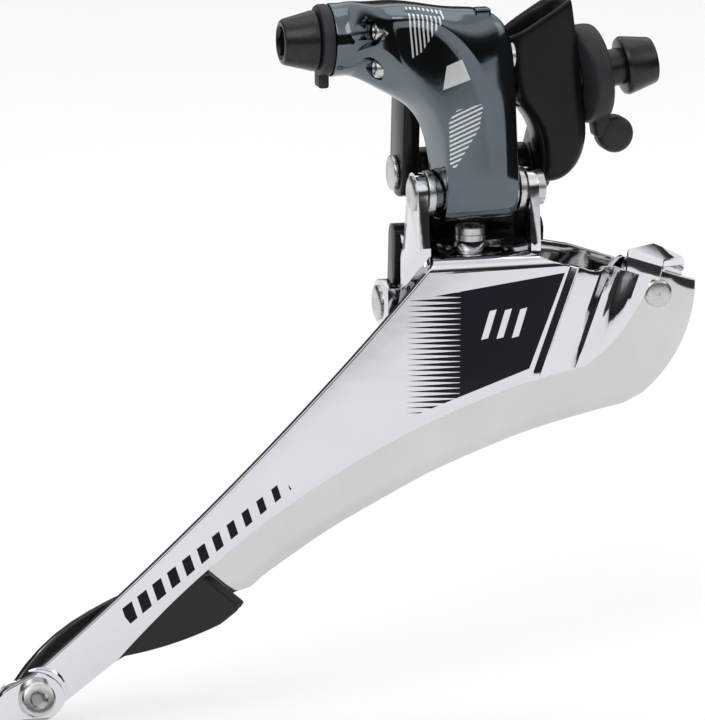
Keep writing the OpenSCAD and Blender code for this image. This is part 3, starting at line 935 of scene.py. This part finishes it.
def inner_plate():
    """The inner cage plate with its rolled lower rim, flared tail and screw boss."""
    outline = ([(-19, -23), (-25, -34)] + arc((-28, -38), (-42, -52), (-57, -67.4), 12)
               + arc((-63, -71.6), (-74, -77.4), (-81, -86.4), 8)
               + arc((-80.4, -88.4), (-78, -88.4), (-75, -86.4), 4)
               + arc((-66, -80.6), (-57, -76.4), (-48, -71.8), 5)
               + arc(*LOWER_RIM, 22) + arc(*NOSE_RIM, 10)
               + [(13.8, -28.6), (6.8, -26.3), (0, -24), (-5, -23)])
    piece = blank(outline, INNER_FACE, SHEET, SHEET_EDGE)

    def roll_edge():
        pick_faces(piece, lambda face: face.normal.y < -0.99 and face.calc_area() > 200)
        bpy.ops.mesh.inset(thickness=1.5, depth=0.0, use_even_offset=True)
        bpy.ops.mesh.inset(thickness=0.3, depth=0.0, use_even_offset=True)
    edit(piece, roll_edge)
    for x in [FLARE_X + 2.0 - k * 0.5 for k in range(9)]:
        crease(piece, (x, 0, 0), (1, 0, 0))

    lower = arc(*LOWER_RIM, 40) + arc(*NOSE_RIM, 20)

    def rule(point):
        near = min(math.hypot(point.x - x, point.z - z) for x, z in lower)
        if near < RIM_WIDTH and point.x > -44:
            point = point + Vector((0, 0.55 * (1 - near / RIM_WIDTH), 0))
        return flared(point)
    press(piece, rule)
    boss = placed(turned([(15.2, 0), (15.2, 3.0), (15.4, 3.2), (18.8, 3.2), (19, 3.0), (19, 0)]),
                  TAIL)
    for part in (piece, boss):
        drill(part, TAIL @ shift(-6), TAIL_HOLE, 40)
    piece = join([piece, boss])
    return finish(piece, "inner_plate_sheet", "inner", ["inner_plate"], smooth=24)


def tail_pad():
    """The moulded pad on the inner plate's tail, with a lip along its front end."""
    top, low = (-52.0, -68.6), (-47.2, -72.9)
    outline = ([top] + arc((-60.5, -70.0), (-73, -76.4), (-80.6, -85.8), 16)
               + arc((-80.6, -87.6), (-79, -88.2), (-76, -86.6), 4)
               + arc((-64, -80.1), (-56.1, -78.3), (-50.4, -76.1), 14) + [(-48.1, -74.3), low])
    piece = blank(outline, INNER_FACE - PAD_THICK, PAD_THICK, 0.2)
    end = Vector((low[0] - top[0], 0, low[1] - top[1])).normalized()
    inward = Vector((end.z, 0, -end.x))
    for far in (0.8, 1.15):
        crease(piece, Vector((top[0], 0, top[1])) + inward * far, inward)
    for x in (-58, -64, -70, -75):
        crease(piece, (x, 0, 0), (1, 0, 0))

    def rule(point):
        far = (point - Vector((top[0], point.y, top[1]))).dot(inward)
        if far < 0.95 and point.y < -0.2:
            point = point + Vector((0, -0.4, 0))
        return flared(point)
    press(piece, rule)
    carve(piece, placed(turned([(-10, 0), (-10, 3.35), (40, 3.35), (40, 0)]), TAIL))
    return finish(piece, "tail_pad_moulding", "pad", ["tail_pad"], smooth=35)


# ---- bolts, rivets and pins

def socket_head(profile, socket_radius, socket_depth, matrix, name, finish_name, node):
    """A turned screw whose head faces -X before it is placed, with a hex socket."""
    piece = turned(profile)
    front = profile[0][0]
    carve(piece, hex_cutter(socket_depth + 1, socket_radius, front - 1))
    carve(piece, turned([(front - 0.5, 0), (front - 0.5, socket_radius + 0.65),
                         (front + 0.4, socket_radius - 0.25), (front + 0.4, 0)]))
    return finish(placed(piece, matrix), name, finish_name, [node], smooth=32)


def cable_bolt():
    """The cable's clamping bolt in the arm's end."""
    end = ARM_END
    head = end - 6.65
    socket_head([(head, 0), (head, 2.7), (head + 0.12, 2.98), (head + 0.45, 3.2),
                 (head + 3.6, 3.98), (head + 4.2, 4.15), (head + 4.6, 4.18), (head + 4.9, 4.0),
                 (head + 5.0, 3.7), (head + 5.0, 2.5), (end + 6.5, 2.5), (end + 6.9, 2.1),
                 (end + 6.9, 0)], 2.3, 2.6, shift(0, CABLE.y, CABLE.z),
                "cable_bolt_turned", "oxide", "cable_bolt")


def mount_bolt():
    """The fixing bolt through the saddle, head forward."""
    flip = SADDLE_TURN @ Matrix.Rotation(math.pi, 4, "Z")
    socket_head([(-11.9, 0), (-11.9, 2.9), (-11.8, 3.15), (-11.5, 3.3), (-7.9, 4.1),
                 (-7.6, 4.1), (-7.25, 3.9), (-7.15, 3.6), (-7.1, 2.6), (8.2, 2.6), (8.6, 2.1),
                 (8.6, 0)], 2.3, 3.0, flip, "mount_bolt_turned", "oxide", "mount_bolt")


def radius_washer():
    """The hanger washer: an oval boss with a neck and a round tongue below."""
    rings = []
    for share, grow in ((0, -2.4), (0, -0.5), (0.06, -0.1), (0.3, 0.1), (0.7, 0.05), (0.92, -0.3),
                        (1, -1.2), (1, -3.0)):
        ring = []
        for k in range(32):
            t = 2 * math.pi * k / 32
            y, z = (6.8 + grow) * math.sin(t), (6.9 + grow) * math.cos(t)
            back = 0.1 + SADDLE_RADIUS - math.sqrt(SADDLE_RADIUS ** 2 - y * y)
            ring.append((back + (4.3 - back) * share, y, z))
        rings.append(ring)
    piece = loft(rings, 1)
    drill(piece, shift(-3), 2.85, 12)
    tongue = turned([(-1.9, 0), (-1.9, 1.5), (-1.8, 2.0), (-1.4, 2.4), (-0.9, 2.6), (0.9, 2.6),
                     (1.4, 2.4), (1.8, 2.0), (1.9, 1.5), (1.9, 0)], 48)
    placed(tongue, shift(4.9, 0, -9.2) @ quarter("Z"))
    neck = block((1.9, -1.7, -9.2), (4.4, 1.7, -4.5), 0.6)
    piece = join([piece, tongue, neck])
    finish(placed(piece, SADDLE_TURN), "radius_washer_shape", "dull", ["radius_washer"], smooth=35)


def cable_washer():
    """The clamp's washer with its small locating tab."""
    end = ARM_END
    ring = turned([(end - 1.6, 2.6), (end - 1.6, 4.5), (end - 1.5, 4.8), (end - 1.2, 4.98),
                   (end - 0.3, 5.0), (end - 0.05, 4.85), (end - 0.05, 2.6), (end - 1.6, 2.6)])
    placed(ring, shift(0, CABLE.y, CABLE.z))
    tab = block((end - 1.55, CABLE.y - 1.5, CABLE.z - 6.5),
                (end - 0.1, CABLE.y + 1.5, CABLE.z - 4.2), 0.4)
    finish(join([ring, tab]), "cable_washer_turned", "dull", ["cable_washer"], smooth=35)


def limit_screws():
    """The two stop screws in the arm's pockets."""
    for node in ("high_limit_screw", "low_limit_screw"):
        low, high = corners(node)
        place = middle(node)
        socket_head([(low.x, 0), (low.x, 1.0), (low.x + 0.15, 1.2), (low.x + 0.4, 1.28),
                     (high.x - 0.3, 1.28), (high.x, 1.0), (high.x, 0)], 0.72, 1.4,
                    shift(0, place.y, place.z), node + "_turned", "steel", node)


def peened_pin(node, left_gap, right_gap):
    """A pin with domed, dimpled rivet heads as deep as the gaps, outside the ears it joins."""
    low, high = corners(node)
    place = middle(node)
    head = 2.45
    left_from, right_from = low.x + left_gap, high.x - right_gap
    left = [(low.x + 0.12, 0), (low.x + 0.12, 0.8), (low.x, 1.2), (low.x + 0.02, 1.7),
            (low.x + 0.14, 2.2), (low.x + 0.3, head), (left_from, head), (left_from, 1.78)]
    right = [(right_from, 1.78), (right_from, head), (high.x - 0.3, head),
             (high.x - 0.12, 2.2), (high.x, 1.7), (high.x, 1.2), (high.x - 0.12, 0.8),
             (high.x - 0.12, 0)]
    finish(placed(turned(left + right), shift(0, place.y, place.z)), node + "_turned",
           "steel", [node], smooth=30)


def bracket_rivet():
    """The upright rivet, with a ringed head and a dished top."""
    low, high = corners("bracket_rivet")
    place = middle("bracket_rivet")
    height = high.z - low.z
    profile = [(0, 0), (0, 1.8), (0.1, 2.0), (0.5, 2.0), (0.6, 1.8), (0.6, 1.25),
               (height - 2.2, 1.25), (height - 2.2, 1.95), (height - 2.1, 2.1),
               (height - 1.35, 2.1), (height - 1.25, 1.98), (height - 1.15, 2.1),
               (height - 0.35, 2.1), (height - 0.2, 1.98), (height - 0.12, 1.5),
               (height - 0.2, 1.2), (height - 0.45, 1.0), (height - 0.5, 0)]
    upright = shift(place.x, place.y, low.z) @ Matrix.Rotation(-math.pi / 2, 4, "Y")
    finish(placed(turned(profile), upright), "bracket_rivet_turned", "steel",
           ["bracket_rivet"], smooth=30)


def small_rivet(profile, x, y, z):
    """A rivet whose axis runs along Y, profile from outboard to inboard."""
    return placed(turned(profile), shift(x, y, z) @ quarter("Z"))


def rivets():
    """The nose rivet and the two that hold the bracket's flange."""
    low, high = corners("nose_rivet")
    deep = high.y - low.y
    nose = small_rivet([(0.12, 0), (0.12, 0.18), (0.0, 0.25), (0, 1.55), (0.1, 1.8),
                        (0.3, 1.98), (0.68, 2.03), (0.7, 1.1), (deep - 0.7, 1.1),
                        (deep - 0.7, 2.0), (deep - 0.1, 1.8), (deep, 1.5), (deep, 0)],
                       middle("nose_rivet").x, low.y, middle("nose_rivet").z)
    finish(nose, "nose_rivet_turned", "steel", ["nose_rivet"], smooth=30)
    low, high = corners("flange_rivets")
    deep = high.y - low.y
    pair = [small_rivet([(0, 0), (0, 1.2), (0.1, 1.45), (0.38, 1.6), (0.4, 0.9),
                         (deep - 0.4, 0.9), (deep - 0.4, 1.6), (deep - 0.1, 1.4),
                         (deep, 1.1), (deep, 0)], x, low.y, middle("flange_rivets").z)
            for x in (low.x + 1.6, high.x - 1.6)]
    finish(join(pair), "flange_rivets_turned", "steel", ["flange_rivets"], smooth=30)


def tail_fasteners():
    """The screw, spacer and nut that close the cage at its tail."""
    socket_head([(-3.0, 0), (-3.0, 2.0), (-2.9, 2.2), (-2.7, 2.35), (0.7, 2.35), (0.8, 2.2),
                 (0.8, 1.25), (20.6, 1.25), (20.8, 1.05), (20.8, 0)], 1.1, 1.7, TAIL,
                "tail_screw_turned", "steel", "tail_screw")
    tube = turned([(2.35, 1.3), (2.35, 2.4), (2.45, 2.5), (15.1, 2.5), (15.2, 2.4), (15.2, 1.3),
                   (2.35, 1.3)])
    finish(placed(tube, TAIL), "tail_spacer_turned", "steel", ["tail_spacer"], smooth=30)
    nut = hex_cutter(1.7, 2.6, 19.05)
    carve(nut, turned([(18.5, 0), (18.5, 1.3), (21, 1.3), (21, 0)]))
    modify(nut, "BEVEL", width=0.12, segments=2, limit_method="ANGLE",
           angle_limit=math.radians(40))
    finish(placed(nut, TAIL), "tail_nut_turned", "steel", ["tail_nut"], smooth=30)


def bracket():
    """The pivot bracket, with its front edge ramped and its rear flange cut on the slant."""
    piece = rounded_copy("pivot_bracket", 0.22)
    carve(piece, side_blank([(-9, -21.2), (-9, -22.8), (-8.1, -22.72), (-4.4, -21.3),
                             (-4.4, -21.2)], corners("outer_link_bushes")[0].x - 0.1, -8.3, 0.01))
    carve(piece, prism([(-25, -20.8), (-25, -29.2), (-24.4, -29.2), (-20.9, -25.0),
                        (-20.4, -22.9), (-20.4, -20.8)], 1.55, 3.2))
    finish(piece, "pivot_bracket_shape", "chrome", ["pivot_bracket"], smooth=35)


def mount_body():
    """The cast body: saddle block with its hollow hood, knuckle, rear leg and front ear."""
    hood = loft([
        oval(-4.4, -3.0, -1.2, 2.6, -14.6, -14.6), oval(-4.9, -1.2, -2.6, 4.0, -14.3, -13.9),
        oval(-5.0, 0.8, -3.3, 4.8, -12.6, -12.0), oval(-5.0, 1.8, -3.5, 5.0, -9.4, -9.0),
        oval(-6.2, 2.0, -3.5, 5.0, -5.6, -5.0), oval(-9.6, 1.8, -3.5, 5.0, -2.4, -1.0),
        oval(-10.3, 1.9, -3.5, 5.0, 1.0, 4.4), oval(-10.4, 1.7, -3.5, 5.0, 5.1, 12.6),
        oval(-10.2, 1.2, -3.3, 4.8, 5.8, 12.9), oval(-9.8, -1.9, -2.8, 4.3, 6.1, 10.9),
        oval(-9.5, -2.3, -2.4, 3.9, 5.7, 10.2), oval(-9.2, -2.6, -2.2, 3.7, 4.6, 8.4),
        oval(-8.8, -3.0, -1.7, 3.2, 2.2, 3.4), oval(-8.0, -3.6, -1.0, 2.6, 1.0, 1.4),
    ], 2)
    saddle = turned([(-40, 0), (-40, SADDLE_RADIUS), (40, SADDLE_RADIUS), (40, 0)], 128)
    carve(hood, placed(saddle, SADDLE_TURN @ shift(SADDLE_RADIUS) @ quarter("Y")))
    drill(hood, SADDLE_TURN @ shift(-9.2), 2.75, 20)
    bridge = block((-23.9, 1.6, -5.0), (-9, 6.4, 1.2), 0.7)
    knuckle = side_blank(stadium((UPPER_OUTER.y, UPPER_OUTER.z), (3.8, -1.8), 2.8),
                         -19.8, -13, 0.25)
    drill(knuckle, shift(-25, UPPER_OUTER.y, UPPER_OUTER.z), 2.2, 20)
    leg = side_blank(stadium((4.2, -2.2), (UPPER_INNER.y, UPPER_INNER.z), 3.4), -24, -21.5, 0.4)
    ear = side_blank(stadium((1.4, -8), (UPPER_INNER.y, UPPER_INNER.z), 3.4), -5, -2.2, 0.4)
    finish(join([hood, bridge, knuckle, leg, ear]), "mount_body_shape", "body", ["mount_body"],
           smooth=35)


for node_name, finish_name, width in (
        ("inner_link", "body", 0.3), ("outer_link_bushes", "steel", 0.15),
        ("inner_link_bushes", "bronze", 0.08), ("upper_bush", "bronze", 0.08),
        ("inner_upper_pin", "steel", 0.2), ("outer_upper_pin", "steel", 0.1)):
    softened(node_name, finish_name, width)
coil = frame["nodes"]["return_spring"].data
coil.materials.clear()
coil.materials.append(FINISH["steel"])

mount_body()
bracket()
outer_link()
outer_plate()
inner_plate()
tail_pad()
cable_bolt()
mount_bolt()
radius_washer()
cable_washer()
limit_screws()
peened_pin("outer_lower_pin", 0.5, 1.4)
peened_pin("inner_lower_pin", 0.6, 0.6)
bracket_rivet()
rivets()
tail_fasteners()


# ---- stage, light, camera

FLAG_HEIGHT, FLAG_LENGTH = 0.2, 0.5


def stage():
    """The floor, and two dark flags that only reflections see."""
    low = CAD_BOX[0][2]
    bpy.ops.mesh.primitive_plane_add(size=6, location=(0, 0, low - 0.0005))
    floor = bpy.context.object
    floor.name = "studio_floor"
    floor.data.materials.append(paper().material)
    for name, x in (("studio_flag_left", -0.36), ("studio_flag_right", 0.30)):
        bpy.ops.mesh.primitive_plane_add(
            size=1, location=(x, -0.12, low + FLAG_HEIGHT / 2), rotation=(0, math.pi / 2, 0))
        flag = bpy.context.object
        flag.name = name
        flag.scale = (FLAG_HEIGHT, FLAG_LENGTH, 1)
        settle(flag)
        flag.data.materials.append(felt().material)
        flag.visible_camera = flag.visible_diffuse = flag.visible_shadow = False


LAMP_AIM = Vector((-0.03, 0, -0.03))


def softbox(name, place, size, watts):
    """A rectangular lamp that looks at the object's middle."""
    light = bpy.data.lights.new(name, "AREA")
    light.shape = "RECTANGLE"
    light.size, light.size_y = size
    light.energy = watts
    lamp = bpy.data.objects.new(name, light)
    bpy.context.collection.objects.link(lamp)
    lamp.location = place
    lamp.rotation_euler = (LAMP_AIM - Vector(place)).to_track_quat("-Z", "Y").to_euler()


AZIMUTH, ELEVATION = math.radians(-15), math.radians(14)
TO_CAMERA = Vector((math.sin(AZIMUTH) * math.cos(ELEVATION),
                    -math.cos(AZIMUTH) * math.cos(ELEVATION), math.sin(ELEVATION)))
TARGET = Vector((-31.9, -1.3, -38.3)) * MM
DISTANCE = 0.555
VIEW_WIDTH = 705 / 7200               # metres seen across the view at the target


def camera():
    """A long lens from the front, a little to the left and above."""
    data = bpy.data.cameras.new("camera")
    data.sensor_width = 36
    data.sensor_fit = "HORIZONTAL"
    data.lens = data.sensor_width * DISTANCE / VIEW_WIDTH
    data.clip_start = 0.01
    view = bpy.data.objects.new("camera", data)
    bpy.context.collection.objects.link(view)
    view.location = TARGET + TO_CAMERA * DISTANCE
    view.rotation_euler = (-TO_CAMERA).to_track_quat("-Z", "Y").to_euler()
    bpy.context.scene.camera = view


def surroundings():
    """A pale studio: white above, dark flags low down all round for the polish to show."""
    world = bpy.data.worlds.new("studio")
    bpy.context.scene.world = world
    world.use_nodes = True
    tree = world.node_tree
    coords = tree.nodes.new("ShaderNodeTexCoord")
    parts = tree.nodes.new("ShaderNodeSeparateXYZ")
    tree.links.new(coords.outputs["Generated"], parts.inputs[0])
    ramp = tree.nodes.new("ShaderNodeValToRGB")
    stops = [(0.0, 0.9), (0.49, 0.9), (0.5, 0.01), (0.58, 0.03), (0.64, 0.07), (0.69, 0.60),
             (0.74, 1.0), (0.86, 1.0), (0.92, 0.75), (1.0, 0.9)]
    while len(ramp.color_ramp.elements) < len(stops):
        ramp.color_ramp.elements.new(0.5)
    for stop, (position, value) in zip(ramp.color_ramp.elements, stops):
        stop.position = position
        stop.color = (value, value, value * 1.01, 1)
    half = Wire(tree, parts.outputs["Z"]) * 0.5 + 0.5
    tree.links.new(half.socket, ramp.inputs[0])
    tree.links.new(ramp.outputs[0], tree.nodes["Background"].inputs["Color"])
    tree.nodes["Background"].inputs["Strength"].default_value = 1.12


stage()
camera()
surroundings()
bpy.context.scene.view_settings.view_transform = "Standard"
softbox("key", (-0.5, -0.6, 0.7), (0.6, 0.5), 1.8)
softbox("fill", (0.7, -0.5, 0.25), (0.4, 0.7), 0.8)
softbox("top", (0.0, 0.2, 0.8), (0.9, 0.5), 1.2)
